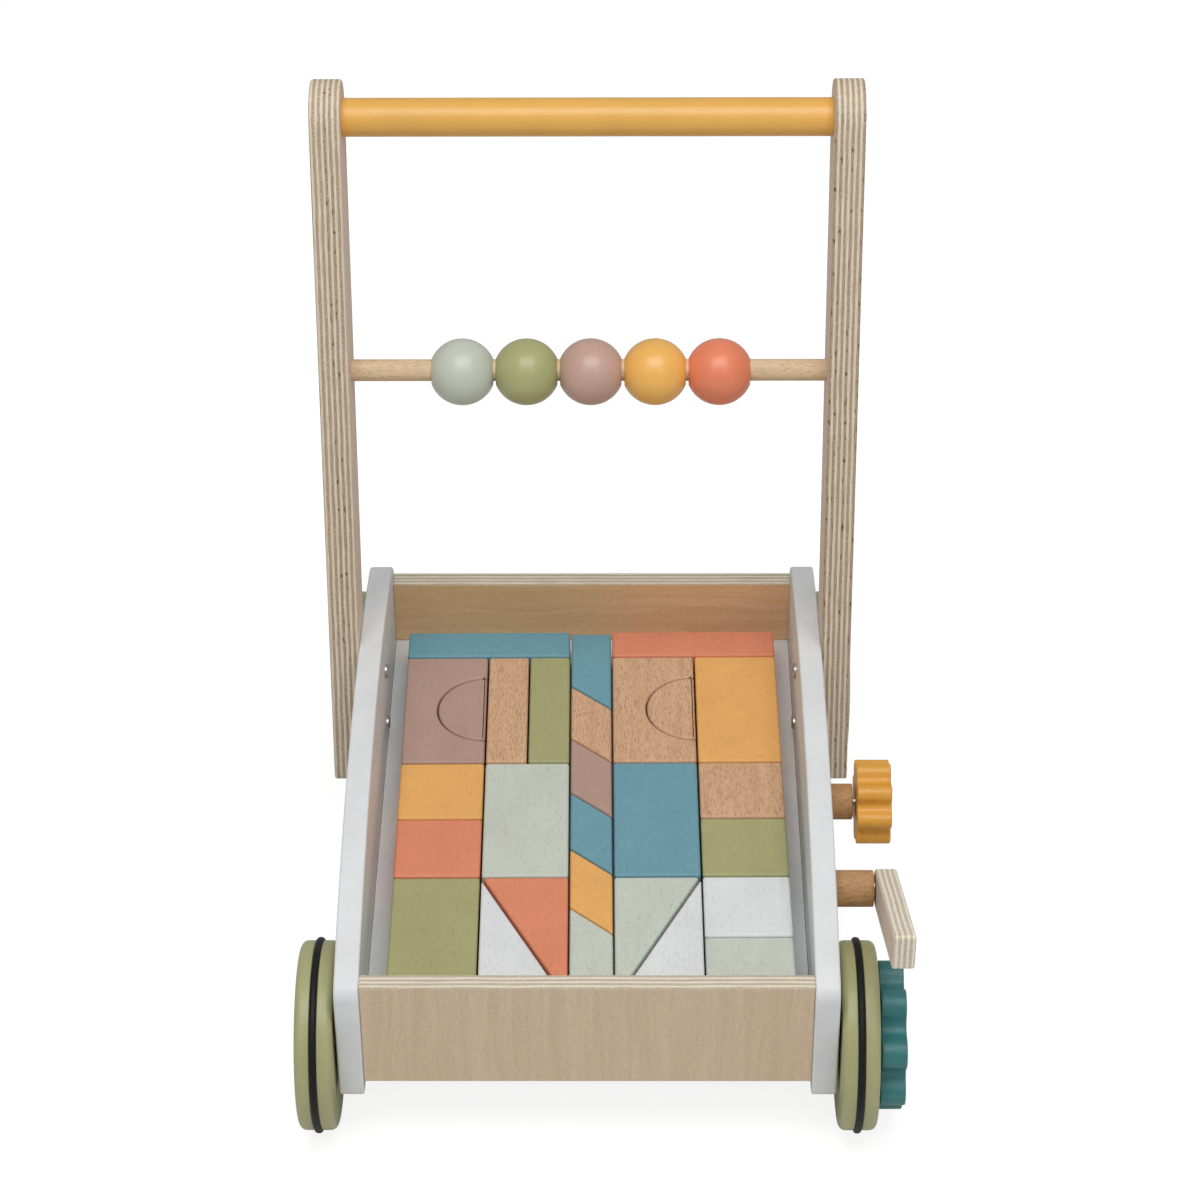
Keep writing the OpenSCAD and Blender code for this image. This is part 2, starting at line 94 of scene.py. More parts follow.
def aim_camera(aim, distance, azimuth, elevation, roll):
    """A camera that looks at a point from an azimuth and an elevation, turned about its own axis."""
    data = bpy.data.cameras.new("photo_camera")
    data.lens = LENS_MM
    data.shift_y = RISE
    camera = bpy.data.objects.new("photo_camera", data)
    bpy.context.scene.collection.objects.link(camera)
    ahead = Vector((math.sin(azimuth) * math.cos(elevation), math.cos(azimuth) * math.cos(elevation),
                    -math.sin(elevation)))
    turn = ahead.to_track_quat("-Z", "Y").to_matrix().to_4x4() @ Matrix.Rotation(-roll, 4, "Z")
    camera.matrix_world = Matrix.Translation(aim - ahead * distance) @ turn
    return camera


camera = aim_camera(box_mid + AIM_BESIDE_MID, CAMERA_DISTANCE, CAMERA_AZIMUTH, CAMERA_ELEVATION, CAMERA_ROLL)
bpy.context.scene.camera = camera
print("camera at", [round(v, 3) for v in camera.matrix_world.translation])

# %% [markdown]
# ## Studio
# The walker stands on a plain white floor in a white room. A room of plain light alone would show no
# form, so one large softbox hangs over its front and gives the block tops their even light. Two small
# ones further forward make the soft spots on the beads. The floor shows the camera a steady white
# with only the faintest contact shadow, but the light that it throws back is that of a real floor.


# %% Studio
def colour(red, green, blue, gain=1.0):
    """A colour given in 0 to 255, as a picture editor shows it, turned into light values."""
    def to_light(v):
        v = v / 255
        return v / 12.92 if v <= 0.04045 else ((v + 0.055) / 1.055) ** 2.4
    return tuple(min(1.0, to_light(v) * gain) for v in (red, green, blue)) + (1.0,)


ROOM_LIGHT = 0.36
ROOM_SHOWN = 1.0
TOP_WATTS = 24.0
LEFT_WATTS = 1.6
RIGHT_WATTS = 2.0
FLOOR_BOUNCE = 0.8
FLOOR_SHOWN = 0.35
FLOOR_GLOW = 0.83


def softbox(name, place, width, height, watts):
    """A rectangular light that hangs at a place and faces the middle of the walker."""
    data = bpy.data.lights.new(name, "AREA")
    data.shape = "RECTANGLE"
    data.size = width
    data.size_y = height
    data.energy = watts
    lamp = bpy.data.objects.new(name, data)
    bpy.context.scene.collection.objects.link(lamp)
    lamp.location = place
    lamp.rotation_euler = (box_mid - Vector(place)).to_track_quat("-Z", "Y").to_euler()
    return lamp


world = bpy.data.worlds.new("white_room")
world.use_nodes = True
bpy.context.scene.world = world
room = world.node_tree
room_back = room.nodes["Background"]
room_back.inputs["Color"].default_value = (1, 1, 1, 1)
seen = room.nodes.new("ShaderNodeLightPath").outputs["Is Camera Ray"]
strength = room.nodes.new("ShaderNodeMapRange")
room.links.new(seen, strength.inputs["Value"])
strength.inputs["To Min"].default_value = ROOM_LIGHT
strength.inputs["To Max"].default_value = ROOM_SHOWN
room.links.new(strength.outputs["Result"], room_back.inputs["Strength"])
bpy.context.scene.view_settings.view_transform = "Standard"
softbox("top_softbox", (0.05, -0.62, 2.1), 1.7, 1.2, TOP_WATTS)
softbox("left_softbox", (-0.75, -1.6, 1.7), 0.3, 0.3, LEFT_WATTS)
softbox("right_softbox", (0.75, -1.6, 1.7), 0.3, 0.3, RIGHT_WATTS)

FLOOR_HALF = 6.0
floor_mesh = bpy.data.meshes.new("studio_floor")
floor_mesh.from_pydata([(x, y, low.z) for x, y in
                        ((-FLOOR_HALF, -FLOOR_HALF), (FLOOR_HALF, -FLOOR_HALF),
                         (FLOOR_HALF, FLOOR_HALF), (-FLOOR_HALF, FLOOR_HALF))], [], [(0, 1, 2, 3)])
studio_floor = bpy.data.objects.new("studio_floor", floor_mesh)
bpy.context.scene.collection.objects.link(studio_floor)
floor_paint = bpy.data.materials.new("studio_floor")
floor_paint.use_nodes = True
floor_shader = floor_paint.node_tree.nodes["Principled BSDF"]
floor_shader.inputs["Roughness"].default_value = 0.9
floor_shader.inputs["Specular IOR Level"].default_value = 0.0
floor_shader.inputs["Emission Color"].default_value = (1, 1, 1, 1)
floor_tree = floor_paint.node_tree
seen = floor_tree.nodes.new("ShaderNodeLightPath").outputs["Is Camera Ray"]
for socket, unseen_value, seen_value in ((floor_shader.inputs["Base Color"], FLOOR_BOUNCE, FLOOR_SHOWN),
                                         (floor_shader.inputs["Emission Strength"], 0.0, FLOOR_GLOW)):
    switch = floor_tree.nodes.new("ShaderNodeMapRange")
    floor_tree.links.new(seen, switch.inputs["Value"])
    switch.inputs["To Min"].default_value = unseen_value
    switch.inputs["To Max"].default_value = seen_value
    floor_tree.links.new(switch.outputs["Result"], socket)
floor_mesh.materials.append(floor_paint)
print("studio ready, floor at", round(low.z, 4))


# %% [markdown]
# ## Building with nodes from a script
# A node tree is easiest to read as a list of steps, each made from the ones before. These helpers
# add one node, set its options and fill its sockets, either with a number or with a link from an
# earlier step.

# %% Node helpers
def add(tree, kind, sockets=None, **options):
    """Adds a node; a socket's key is its name or its number, and its value is a link or a constant."""
    made = tree.nodes.new(kind)
    for option, value in options.items():
        setattr(made, option, value)
    for key, value in (sockets or {}).items():
        if isinstance(value, bpy.types.NodeSocket):
            tree.links.new(value, made.inputs[key])
        else:
            made.inputs[key].default_value = value
    return made


def calc(tree, operation, *values, clamp=False):
    """One Math node; gives its output."""
    return add(tree, "ShaderNodeMath", dict(enumerate(values)), operation=operation,
               use_clamp=clamp).outputs[0]


def remap(tree, value, low_in, high_in, low_out=0.0, high_out=1.0, smooth=False):
    """One Map Range node that clamps; gives its output."""
    kind = "SMOOTHSTEP" if smooth else "LINEAR"
    return add(tree, "ShaderNodeMapRange", {"Value": value, "From Min": low_in, "From Max": high_in,
                                            "To Min": low_out, "To Max": high_out},
               interpolation_type=kind).outputs["Result"]


def blend_colours(tree, share, first, second, mode="MIX"):
    """One colour Mix node; gives its output."""
    mix = add(tree, "ShaderNodeMix", data_type="RGBA", blend_type=mode)
    for key, value in ((0, share), (6, first), (7, second)):
        if isinstance(value, bpy.types.NodeSocket):
            tree.links.new(value, mix.inputs[key])
        else:
            mix.inputs[key].default_value = value
    return mix.outputs[2]


def new_group(name, inputs, outputs):
    """A shader node group with named sockets: inputs is a list of (name, kind, default)."""
    tree = bpy.data.node_groups.new(name, "ShaderNodeTree")
    for label, kind, default in inputs:
        socket = tree.interface.new_socket(label, in_out="INPUT", socket_type="NodeSocket" + kind)
        if default is not None:
            socket.default_value = default
    for label, kind in outputs:
        tree.interface.new_socket(label, in_out="OUTPUT", socket_type="NodeSocket" + kind)
    given = tree.nodes.new("NodeGroupInput").outputs
    result = tree.nodes.new("NodeGroupOutput").inputs
    return tree, given, result


def use_group(tree, group, sockets):
    """Places a node group in a tree and gives the node."""
    made = tree.nodes.new("ShaderNodeGroup")
    made.node_tree = group
    for key, value in sockets.items():
        if isinstance(value, bpy.types.NodeSocket):
            tree.links.new(value, made.inputs[key])
        else:
            made.inputs[key].default_value = value
    return made


def scaled_noise(tree, vector, stretch, detail=2.0, roughness=0.5):
    """Noise whose spots are stretch millimetres long each way; vector is in millimetres."""
    shrink = add(tree, "ShaderNodeVectorMath", {0: vector, 1: tuple(1 / s for s in stretch)},
                 operation="MULTIPLY").outputs[0]
    return add(tree, "ShaderNodeTexNoise", {"Vector": shrink, "Scale": 1.0, "Detail": detail,
                                            "Roughness": roughness}).outputs["Fac"]


print("helpers ready")

# %% [markdown]
# ## Shared effects
# Four effects come back on many parts. Beech has short dark and pale flecks along its grain. A veneer
# has long soft streaks. A plywood edge shows its layers, every other one cut across the grain and
# darker, with thin glue lines and small voids between; the near-black colour in the voids is painted
# shade. And paint sprayed on wood is never quite even.
# Each effect is one node group that works in millimetres with its first axis across the grain and its
# second along it, and gives only masks and heights.

# %% Effect groups
VECTOR_IN = [("Vector", "Vector", None)]


def make_flecks():
    """Short thin dashes along the grain, dark ones and pale ones, as in beech."""
    tree, given, result = new_group("Beech Flecks", VECTOR_IN + [("Amount", "Float", 0.5)],
                                    [("Flecks", "Float"), ("Pale", "Float"), ("Grain", "Float")])
    dashes = scaled_noise(tree, given["Vector"], (0.42, 3.6, 0.42), detail=1.0)
    edge = calc(tree, "SUBTRACT", 0.68, calc(tree, "MULTIPLY", given["Amount"], 0.14))
    flecks = remap(tree, dashes, edge, calc(tree, "ADD", edge, 0.06))
    pale = remap(tree, dashes, 0.40, 0.30, 0.0, 1.0)
    grain = scaled_noise(tree, given["Vector"], (4.5, 60.0, 4.5), detail=3.0, roughness=0.55)
    for label, value in (("Flecks", flecks), ("Pale", pale), ("Grain", grain)):
        tree.links.new(value, result[label])
    return tree


def make_veneer():
    """Long soft streaks with a slow wander, as in a peeled birch face."""
    tree, given, result = new_group("Veneer Streaks", VECTOR_IN, [("Streaks", "Float"), ("Pores", "Float")])
    wander = scaled_noise(tree, given["Vector"], (25.0, 70.0, 25.0), detail=1.0)
    shift = add(tree, "ShaderNodeCombineXYZ", {"X": calc(tree, "MULTIPLY", wander, 14.0)}).outputs[0]
    bent = add(tree, "ShaderNodeVectorMath", {0: given["Vector"], 1: shift}, operation="ADD").outputs[0]
    broad = scaled_noise(tree, bent, (5.0, 160.0, 5.0), detail=3.0, roughness=0.55)
    fine = scaled_noise(tree, bent, (0.7, 30.0, 0.7), detail=2.0)
    streaks = calc(tree, "ADD", calc(tree, "MULTIPLY", broad, 0.65), calc(tree, "MULTIPLY", fine, 0.35))
    pores = remap(tree, scaled_noise(tree, bent, (0.35, 3.5, 0.35), detail=0.0), 0.66, 0.74)
    tree.links.new(streaks, result["Streaks"])
    tree.links.new(pores, result["Pores"])
    return tree


def make_layers():
    """The edge of a plywood board: the first axis runs through its layers, the second along the edge."""
    tree, given, result = new_group(
        "Ply Layers", VECTOR_IN + [("Pitch", "Float", 3.0), ("Voids", "Float", 0.5)],
        [("Cross Layer", "Float"), ("Glue", "Float"), ("Tint", "Float"), ("Void", "Float")])
    through = add(tree, "ShaderNodeSeparateXYZ", {0: given["Vector"]}).outputs[0]
    sway = scaled_noise(tree, given["Vector"], (40.0, 55.0, 40.0), detail=1.0)
    swayed = calc(tree, "ADD", through, calc(tree, "MULTIPLY", calc(tree, "SUBTRACT", sway, 0.5), 0.9))
    level = calc(tree, "DIVIDE", swayed, given["Pitch"])
    within = calc(tree, "FRACT", level)
    rise = remap(tree, within, 0.04, 0.09)
    fall = remap(tree, within, 0.52, 0.57, 1.0, 0.0)
    cross = calc(tree, "MULTIPLY", rise, fall)
    lines = []
    for joint in (0.055, 0.55):
        away = calc(tree, "ABSOLUTE", calc(tree, "SUBTRACT", within, joint))
        lines.append(remap(tree, away, 0.02, 0.06, 1.0, 0.0))
    glue = calc(tree, "ADD", *lines)
    broken = remap(tree, scaled_noise(tree, given["Vector"], (2.0, 16.0, 2.0), detail=2.0), 0.38, 0.62)
    tint = add(tree, "ShaderNodeTexWhiteNoise", {"W": calc(tree, "FLOOR", level)},
               noise_dimensions="1D").outputs["Value"]
    pits = scaled_noise(tree, given["Vector"], (1.5, 6.0, 1.5), detail=1.0)
    edge = calc(tree, "SUBTRACT", 0.76, calc(tree, "MULTIPLY", given["Voids"], 0.13))
    in_layer = calc(tree, "MULTIPLY", cross, calc(tree, "GREATER_THAN", tint, 0.3))
    void = calc(tree, "MULTIPLY", remap(tree, pits, edge, calc(tree, "ADD", edge, 0.025)), in_layer)
    for label, value in (("Cross Layer", cross), ("Glue", calc(tree, "MULTIPLY", glue, broken)),
                         ("Tint", tint), ("Void", void)):
        tree.links.new(value, result[label])
    return tree


def make_spray():
    """Sprayed paint: broad mottle, a fine orange-peel skin and a few pinholes."""
    tree, given, result = new_group("Sprayed Paint", VECTOR_IN,
                                    [("Mottle", "Float"), ("Skin", "Float"), ("Pinholes", "Float")])
    mottle = scaled_noise(tree, given["Vector"], (18.0, 30.0, 18.0), detail=3.0)
    skin = scaled_noise(tree, given["Vector"], (0.8, 1.2, 0.8), detail=2.0)
    holes = add(tree, "ShaderNodeTexVoronoi", {"Vector": given["Vector"], "Scale": 0.16}).outputs["Distance"]
    pinholes = remap(tree, holes, 0.025, 0.045, 1.0, 0.0)
    tree.links.new(mottle, result["Mottle"])
    tree.links.new(skin, result["Skin"])
    tree.links.new(pinholes, result["Pinholes"])
    return tree


flecks_group = make_flecks()
veneer_group = make_veneer()
layers_group = make_layers()
spray_group = make_spray()
print("effects", [g.name for g in bpy.data.node_groups])


# %% [markdown]
# ## Paint and raw wood
# Each finish is a small function, because the walker wears the same satin paint in many colours. The
# grain direction is chosen for each board by naming the axis across the grain, the one along it, and
# the one through it. Paint here is thin: the flecks of the beech under it still show as tiny hollows,
# and the colour is darkened in them and in the pinholes, which is painted shade.

# %% Finishes
def start_material(name):
    """A material with its tree and its shader."""
    made = bpy.data.materials.new(name)
    made.use_nodes = True
    return made, made.node_tree, made.node_tree.nodes["Principled BSDF"]


def millimetres(tree, axes="XYZ", lean=0.0):
    """Object coordinates in millimetres, with their axes put in the order across, along, through."""
    place = add(tree, "ShaderNodeTexCoord").outputs["Object"]
    turned = add(tree, "ShaderNodeMapping", {"Vector": place, "Rotation": (lean, 0, 0),
                                             "Scale": (MM_PER_M, MM_PER_M, MM_PER_M)}).outputs[0]
    parts = add(tree, "ShaderNodeSeparateXYZ", {0: turned})
    ordered = {i: parts.outputs[axis] for i, axis in enumerate(axes)}
    return add(tree, "ShaderNodeCombineXYZ", ordered).outputs[0]


def bump(tree, shader, height, strength, distance_mm):
    """Feeds a height through a Bump node to the shader's normal."""
    made = add(tree, "ShaderNodeBump", {"Height": height, "Strength": strength, "Distance": distance_mm * MM})
    tree.links.new(made.outputs[0], shader.inputs["Normal"])


def painted(name, tone, axes="XYZ", gloss=0.5, coat=0.0, dents=0.5, lean=0.0):
    """Satin paint sprayed on wood, with painted shade in its small hollows."""
    made, tree, shader = start_material(name)
    place = millimetres(tree, axes, lean)
    spray = use_group(tree, spray_group, {"Vector": place})
    under = use_group(tree, flecks_group, {"Vector": place, "Amount": 0.35})
    shade = remap(tree, spray.outputs["Mottle"], 0.3, 0.7, 0.955, 1.03)
    # Darker colour in the fleck dips and the pinholes is painted shade in those small hollows.
    shade = calc(tree, "SUBTRACT", shade, calc(tree, "MULTIPLY", under.outputs["Flecks"], 0.12 * dents))
    shade = calc(tree, "SUBTRACT", shade, calc(tree, "MULTIPLY", spray.outputs["Pinholes"], 0.12 * dents))
    grey = add(tree, "ShaderNodeCombineColor", {0: shade, 1: shade, 2: shade}).outputs[0]
    tree.links.new(blend_colours(tree, 1.0, tone, grey, "MULTIPLY"), shader.inputs["Base Color"])
    rough = remap(tree, spray.outputs["Skin"], 0.3, 0.7, gloss - 0.05, gloss + 0.06)
    tree.links.new(rough, shader.inputs["Roughness"])
    shader.inputs["Coat Weight"].default_value = coat
    shader.inputs["Coat Roughness"].default_value = 0.22
    dent = calc(tree, "ADD", under.outputs["Flecks"], spray.outputs["Pinholes"])
    height = calc(tree, "SUBTRACT", calc(tree, "MULTIPLY", spray.outputs["Skin"], 0.35),
                  calc(tree, "MULTIPLY", dent, dents))
    bump(tree, shader, height, 0.7, 0.16)
    return made


def beech(name, pale, dark, axes="XYZ", flecks=0.6, gloss=0.58):
    """Raw sanded beech."""
    made, tree, shader = start_material(name)
    wood = use_group(tree, flecks_group, {"Vector": millimetres(tree, axes), "Amount": flecks})
    base = blend_colours(tree, remap(tree, wood.outputs["Grain"], 0.3, 0.7, 0.2, 0.8), pale, dark)
    bright = tuple(min(v * 1.12, 1.0) for v in pale[:3]) + (1.0,)
    base = blend_colours(tree, calc(tree, "MULTIPLY", wood.outputs["Pale"], 0.6), base, bright)
    fleck = tuple(v * 0.6 for v in dark[:3]) + (1.0,)
    share = calc(tree, "MULTIPLY", wood.outputs["Flecks"], 0.7)
    tree.links.new(blend_colours(tree, share, base, fleck), shader.inputs["Base Color"])
    shader.inputs["Roughness"].default_value = gloss
    bump(tree, shader, calc(tree, "SUBTRACT", 1.0, wood.outputs["Flecks"]), 0.5, 0.12)
    return made


def veneer(name, pale, dark, axes="XYZ", lean=0.0):
    """The raw face of a birch plywood board."""
    made, tree, shader = start_material(name)
    wood = use_group(tree, veneer_group, {"Vector": millimetres(tree, axes, lean)})
    place = millimetres(tree, axes, lean)
    base = blend_colours(tree, remap(tree, wood.outputs["Streaks"], 0.34, 0.66, 0.1, 0.9), pale, dark)
    speck = remap(tree, scaled_noise(tree, place, (0.5, 1.1, 0.5), detail=1.0), 0.3, 0.7, 0.9, 1.08)
    grey = add(tree, "ShaderNodeCombineColor", {0: speck, 1: speck, 2: speck}).outputs[0]
    base = blend_colours(tree, 1.0, base, grey, "MULTIPLY")
    pore = tuple(v * 0.7 for v in dark[:3]) + (1.0,)
    share = calc(tree, "MULTIPLY", wood.outputs["Pores"], 0.35)
    tree.links.new(blend_colours(tree, share, base, pore), shader.inputs["Base Color"])
    shader.inputs["Roughness"].default_value = 0.6
    bump(tree, shader, wood.outputs["Streaks"], 0.25, 0.08)
    return made


def ply_edge(name, pale, dark, axes="XYZ", pitch=3.0, voids=0.5, lean=0.0):
    """The raw striped edge of a plywood board; the first axis goes through the layers."""
    made, tree, shader = start_material(name)
    place = millimetres(tree, axes, lean)
    layers = use_group(tree, layers_group, {"Vector": place, "Pitch": pitch, "Voids": voids})
    streak = scaled_noise(tree, place, (0.5, 14.0, 0.5), detail=3.0, roughness=0.6)
    speck = scaled_noise(tree, place, (0.5, 0.7, 0.5), detail=1.0)
    dim = tuple(v * 0.66 for v in dark[:3]) + (1.0,)
    glue = tuple(v * k for v, k in zip(dark[:3], (0.50, 0.42, 0.34))) + (1.0,)
    cross = blend_colours(tree, calc(tree, "MULTIPLY", layers.outputs["Tint"], 0.6), dark, dim)
    cross = blend_colours(tree, remap(tree, speck, 0.44, 0.62, 0.55, 0.0), cross, dim)
    cross = blend_colours(tree, remap(tree, speck, 0.56, 0.68, 0.0, 0.7), cross, pale)
    long_grain = blend_colours(tree, remap(tree, streak, 0.42, 0.75, 0.0, 0.7), pale, dark)
    base = blend_colours(tree, layers.outputs["Cross Layer"], long_grain, cross)
    base = blend_colours(tree, calc(tree, "MULTIPLY", layers.outputs["Glue"], 0.8), base, glue)
    # The voids are real gaps in the core layer; their near-black colour is painted shade inside them.
    void_shade = blend_colours(tree, speck, (0.015, 0.008, 0.005, 1.0), (0.30, 0.13, 0.05, 1.0))
    base = blend_colours(tree, layers.outputs["Void"], base, void_shade)
    tree.links.new(base, shader.inputs["Base Color"])
    shader.inputs["Roughness"].default_value = 0.68
    height = calc(tree, "SUBTRACT", calc(tree, "MULTIPLY", streak, 0.6),
                  calc(tree, "ADD", calc(tree, "MULTIPLY", layers.outputs["Cross Layer"], 0.35),
                       layers.outputs["Void"]))
    bump(tree, shader, height, 0.6, 0.2)
    return made


def rubber(name):
    """Matt black rubber with pale dust specks."""
    made, tree, shader = start_material(name)
    place = millimetres(tree)
    speck = remap(tree, scaled_noise(tree, place, (0.55, 0.55, 0.55), detail=2.0), 0.60, 0.72)
    base = blend_colours(tree, calc(tree, "MULTIPLY", speck, 0.5), (0.006, 0.006, 0.0065, 1),
                         (0.13, 0.125, 0.12, 1))
    tree.links.new(base, shader.inputs["Base Color"])
    shader.inputs["Specular IOR Level"].default_value = 0.25
    tree.links.new(remap(tree, speck, 0.0, 1.0, 0.5, 0.8), shader.inputs["Roughness"])
    bump(tree, shader, speck, 0.6, 0.12)
    return made


def zinc(name):
    """Zinc-plated steel with a faint cloudy bloom."""
    made, tree, shader = start_material(name)
    cloud = scaled_noise(tree, millimetres(tree), (3.0, 3.0, 3.0), detail=3.0)
    base = blend_colours(tree, cloud, (0.62, 0.62, 0.63, 1), (0.42, 0.42, 0.43, 1))
    tree.links.new(base, shader.inputs["Base Color"])
    shader.inputs["Metallic"].default_value = 1.0
    tree.links.new(remap(tree, cloud, 0.3, 0.7, 0.22, 0.42), shader.inputs["Roughness"])
    return made


GAIN = 1.22
tones = {
    "mauve": colour(170, 140, 127, GAIN),
    "coral": colour(212, 131, 99, GAIN),
    "yellow": colour(221, 165, 94, GAIN),
    "green": colour(158, 157, 110, GAIN),
    "sage": colour(188, 195, 183, GAIN),
    "blue": colour(102, 149, 162, GAIN),
    "white": colour(211, 213, 214, GAIN),
    "mustard": colour(214, 162, 76, GAIN),
    "olive": colour(160, 159, 114, GAIN),
    "teal": colour(48, 113, 115, GAIN),
    "mint gloss": colour(182, 190, 176, GAIN),
    "green gloss": colour(159, 161, 109, GAIN),
    "mauve gloss": colour(183, 150, 136, GAIN),
    "yellow gloss": colour(227, 171, 84, GAIN),
    "coral gloss": colour(220, 124, 89, GAIN),
}
BEECH_PALE, BEECH_DARK = colour(206, 168, 133, GAIN), colour(188, 148, 113, GAIN)
PLY_PALE, PLY_DARK = colour(218, 203, 181, GAIN), colour(172, 153, 130, GAIN)
FACE_PALE, FACE_DARK = colour(210, 188, 161, GAIN), colour(195, 172, 143, GAIN)
print("tones", sorted(tones))


# %% [markdown]
# ## Boards and blocks
# The flat parts keep the outline that the frame gives them. What a sharp outline lacks is the small
# round-over that a sander leaves on every edge, which is also what catches the light. So each board
# is copied from the frame, its loose triangles are merged into clean faces, and a Bevel modifier
# rounds the sharp edges only. The round stretches of an outline are left alone, because the angle
# between their neighbouring faces is small.

# %% Board helper
SHARP = math.radians(30)
HOLE_EDGE_MM = 1.0


def finish_mesh(piece):
    """Applies a piece's modifiers, so that its final shape is in its own mesh."""
    depsgraph = bpy.context.evaluated_depsgraph_get()
    made = bpy.data.meshes.new_from_object(piece.evaluated_get(depsgraph), depsgraph=depsgraph)
    piece.modifiers.clear()
    piece.data = made
    made.name = piece.name
    return piece


def smooth(mesh, angle=SHARP):
    """Smooth shading with hard edges kept where faces meet at more than the angle."""
    mesh.polygons.foreach_set("use_smooth", [True] * len(mesh.polygons))
    mesh.set_sharp_from_angle(angle=angle)


def link_piece(name, mesh):
    piece = bpy.data.objects.new(name, mesh)
    bpy.context.scene.collection.objects.link(piece)
    return piece


def register(piece, *stands_for):
    """The piece stands for CAD nodes and rides on their body; the CAD nodes are hidden."""
    first = stands_for[0]
    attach(piece, body_of_node[first])
    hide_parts(*stands_for)
    return piece


def rounded_copy(node, radius_mm, segments=4, clamp=False):
    """A copy of a CAD node with clean faces; long sharp edges are rounded and holes stay crisp."""
    mesh = nodes[node].data.copy()
    mesh.materials.clear()
    for attribute in ("sharp_edge", "sharp_face", "custom_normal"):
        if attribute in mesh.attributes:
            mesh.attributes.remove(mesh.attributes[attribute])
    work = bmesh.new()
    work.from_mesh(mesh)
    bmesh.ops.remove_doubles(work, verts=work.verts, dist=0.002 * MM)
    bmesh.ops.dissolve_limit(work, angle_limit=math.radians(0.5), verts=work.verts, edges=work.edges)
    weight = work.edges.layers.float.new("bevel_weight_edge")
    for edge in work.edges:
        corner = len(edge.link_faces) == 2 and edge.calc_face_angle(0) > SHARP
        rounded = corner and edge.calc_length() > HOLE_EDGE_MM * MM
        edge[weight] = 1.0 if rounded else 0.0
        edge.smooth = rounded or not corner
    work.to_mesh(mesh)
    work.free()
    piece = link_piece(node + "_finished", mesh)
    mesh.polygons.foreach_set("use_smooth", [True] * len(mesh.polygons))
    edge = piece.modifiers.new("round_over", "BEVEL")
    edge.width = radius_mm * MM
    edge.segments = segments
    edge.limit_method = "WEIGHT"
    edge.use_clamp_overlap = clamp
    edge.harden_normals = True
    return finish_mesh(piece)


def dress(piece, finish, edge_finish=None, through=None):
    """Gives a board its face material, and its edge material where faces don't look along its axis."""
    mesh = piece.data
    mesh.materials.clear()
    mesh.materials.append(finish)
    if edge_finish:
        mesh.materials.append(edge_finish)
        axis = "XYZ".index(through)
        for face in mesh.polygons:
            face.material_index = 0 if abs(face.normal[axis]) > 0.97 else 1
    return piece


# %% Tray boards
white_side = painted("white_side_paint", tones["white"], "XYZ", gloss=0.45, dents=0.25)
white_floor = painted("white_floor_paint", tones["white"], "XYZ", gloss=0.5, dents=0.3)
for node in ("left_side_panel", "right_side_panel"):
    register(dress(rounded_copy(node, 1.3), white_side), node)
register(dress(rounded_copy("floor_board", 0.5), white_floor), "floor_board")

front_face = veneer("front_panel_face", FACE_PALE, FACE_DARK, "XZY")
# The rear panel's grain is real; its warmer, yellower tone than the front panel's is painted warm bounce light
# from the coloured blocks.
rear_face_bounce_tinted = veneer("rear_panel_face", colour(222, 188, 148, GAIN), colour(203, 164, 117, GAIN), "ZXY")
panel_edge = ply_edge("end_panel_edge", colour(224, 215, 195, GAIN), colour(190, 179, 156, GAIN), "YXZ",
                      pitch=3.1, voids=0.1)
for node, face in (("front_panel", front_face), ("rear_panel", rear_face_bounce_tinted)):
    register(dress(rounded_copy(node, 0.8), face, panel_edge, "Y"), node)
print("tray boards done")

# %% Uprights and lever
UPRIGHT_LEAN = math.radians(12)
upright_face = veneer("upright_face", colour(216, 198, 180, GAIN), colour(204, 184, 164, GAIN), "YZX",
                      lean=UPRIGHT_LEAN)
upright_edge = ply_edge("upright_edge", PLY_PALE, PLY_DARK, "XZY", pitch=3.05, voids=0.9, lean=UPRIGHT_LEAN)
lever_face = veneer("lever_face", colour(216, 198, 180, GAIN), colour(200, 180, 160, GAIN), "ZYX")
lever_edge = ply_edge("lever_edge", colour(240, 228, 210, GAIN), colour(214, 200, 178, GAIN), "XYZ",
                      pitch=2.9, voids=0.2)
for node, face, edge in (("left_upright", upright_face, upright_edge),
                         ("right_upright", upright_face, upright_edge), ("lever", lever_face, lever_edge)):
    register(dress(rounded_copy(node, 1.2), face, edge, "X"), node)
print("uprights and lever done")

# %% Blocks
block_finish = {name: painted("block_" + name, tones[name], "XYZ", gloss=0.55, dents=0.8)
                for name in ("mauve", "coral", "yellow", "green", "sage", "blue", "white")}
BLOCK_SLACK_MM = 0.25


def loosened(piece, slack_mm):
    """Draws a block's upright sides in a little, so that a dark line shows between neighbours."""
    corners = [v.co for v in piece.data.vertices]
    for k in (0, 1):
        least, most = min(c[k] for c in corners), max(c[k] for c in corners)
        share = 1 - 2 * slack_mm * MM / (most - least)
        for c in corners:
            c[k] = (least + most) / 2 + (c[k] - (least + most) / 2) * share
    return piece


block_finish["beech"] = beech("block_beech", BEECH_PALE, BEECH_DARK, "XYZ", flecks=0.75)
blocks = [n for n in nodes if body_of_node[n] == n and nodes[n] and (n + "_lift") in
          [j["name"] for j in frame["joints"]]]
for node in blocks:
    slot = slot_of_node[node].replace("block_", "")
    thin = node.startswith("wedge")
    block = loosened(rounded_copy(node, 1.7, clamp=thin), BLOCK_SLACK_MM)
    register(dress(block, block_finish[slot]), node)
print("blocks", len(blocks))

# %% [markdown]
# ## Turned pieces
# Wheels, rubber rings, beads, rods, posts, caps and screw heads are all turned on a lathe. The shape
# follows one rule: a profile goes round an axis. A Spin operator or a Screw modifier would do it, but
# one node tree does it for every piece here, with the piece's sizes as its inputs. The tree lays out
# a grid, gives each of its columns one point of the profile, and wraps its rows round the axis.
# The lobed gear and knob are the same, with a radius that swells and shrinks on the way round.

